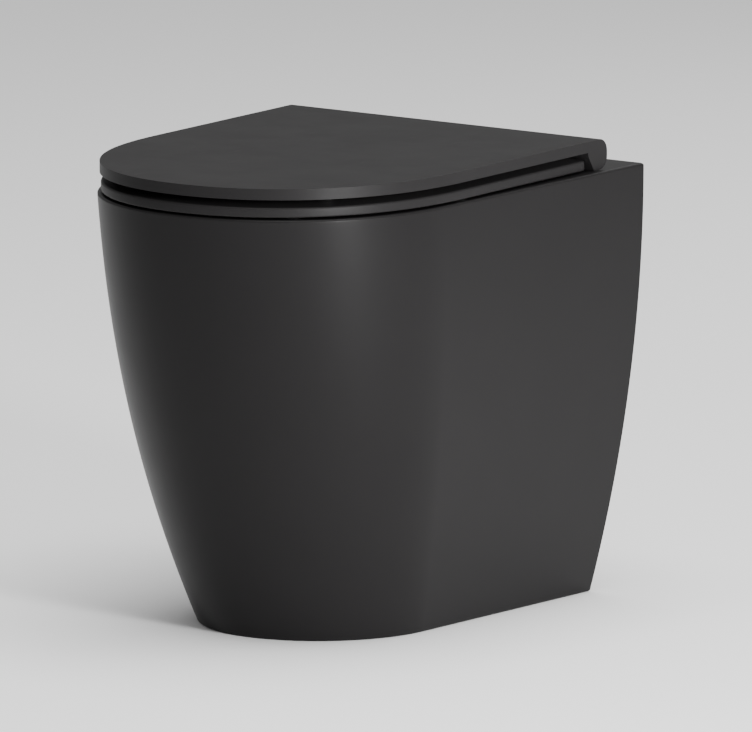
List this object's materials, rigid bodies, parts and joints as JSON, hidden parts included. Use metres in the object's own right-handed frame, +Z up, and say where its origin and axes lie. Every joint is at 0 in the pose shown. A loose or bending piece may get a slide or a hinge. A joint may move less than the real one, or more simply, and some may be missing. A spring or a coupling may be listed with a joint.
{
  "type": "back-to-wall toilet",
  "caption": "Floor-standing back-to-wall toilet pan with a hinged slim seat, a wrap-over lid and quick-release hinges.",
  "frame": {"origin": "on the floor, in the middle of the pan's footprint box", "axes": "+Z up, +Y towards the wall behind the pan, +X to the right of a person facing the pan's wall"},
  "size_m": [0.36, 0.4758, 0.4282],
  "materials": {
    "pan_glaze": "matt black glaze on vitreous china",
    "seat_duroplast": "matt black moulded duroplast",
    "hinge_black": "satin black powder coat on zinc casting",
    "button_grey": "moulded grey acetal",
    "stainless": "turned stainless steel",
    "spring_steel": "bright spring wire",
    "zinc_plate": "zinc-plated pressed steel",
    "nylon": "natural white nylon",
    "damper_body": "dark grey acetal damper cartridge",
    "rubber": "black EPDM rubber",
    "buffer_rubber": "dark soft elastomer"
  },
  "bodies": {
    "pan": {"pan_casting": "pan_glaze", "floor_bracket_left": "zinc_plate", "floor_bracket_right": "zinc_plate", "bracket_clamp_screws": "stainless", "clamp_screw_sleeves": "nylon", "seat_base_plates": "stainless", "seat_posts": "stainless", "top_fix_bolts": "stainless", "expander_sleeves": "rubber", "expander_nuts": "nylon"},
    "hinge_carrier": {"hinge_housing_left": "hinge_black", "hinge_housing_right": "hinge_black", "hinge_pins": "stainless", "latch_clips": "spring_steel"},
    "button_left": {"release_button_left": "button_grey", "button_spring_left": "spring_steel"},
    "button_right": {"release_button_right": "button_grey", "button_spring_right": "spring_steel"},
    "seat": {"seat_ring": "seat_duroplast", "seat_damper": "damper_body", "seat_bush": "nylon", "seat_buffers": "buffer_rubber"},
    "lid": {"lid_shell": "seat_duroplast", "lid_damper": "damper_body", "lid_bush": "nylon", "lid_buffers": "buffer_rubber"}
  },
  "joints": [
    {"name": "seat_liftoff", "type": "slide", "parent": "pan", "child": "hinge_carrier", "axis": [0, 0, 1], "range_m": [0, 0.02], "deforming": ["latch_clips"]},
    {"name": "release_left", "type": "slide", "parent": "hinge_carrier", "child": "button_left", "axis": [0, 1, 0], "range_m": [0, 0.0025], "stiffness_N_per_m": 150, "springref_m": -0.004, "deforming": ["button_spring_left"]},
    {"name": "release_right", "type": "slide", "parent": "hinge_carrier", "child": "button_right", "axis": [0, 1, 0], "range_m": [0, 0.0025], "stiffness_N_per_m": 150, "springref_m": -0.004, "deforming": ["button_spring_right"]},
    {"name": "seat_hinge", "type": "hinge", "parent": "hinge_carrier", "child": "seat", "pos_m": [0, 0.181, 0.412], "axis": [-1, 0, 0], "range_deg": [0, 95]},
    {"name": "lid_hinge", "type": "hinge", "parent": "seat", "child": "lid", "pos_m": [0, 0.181, 0.412], "axis": [1, 0, 0], "range_deg": [-95, 0]}
  ]
}
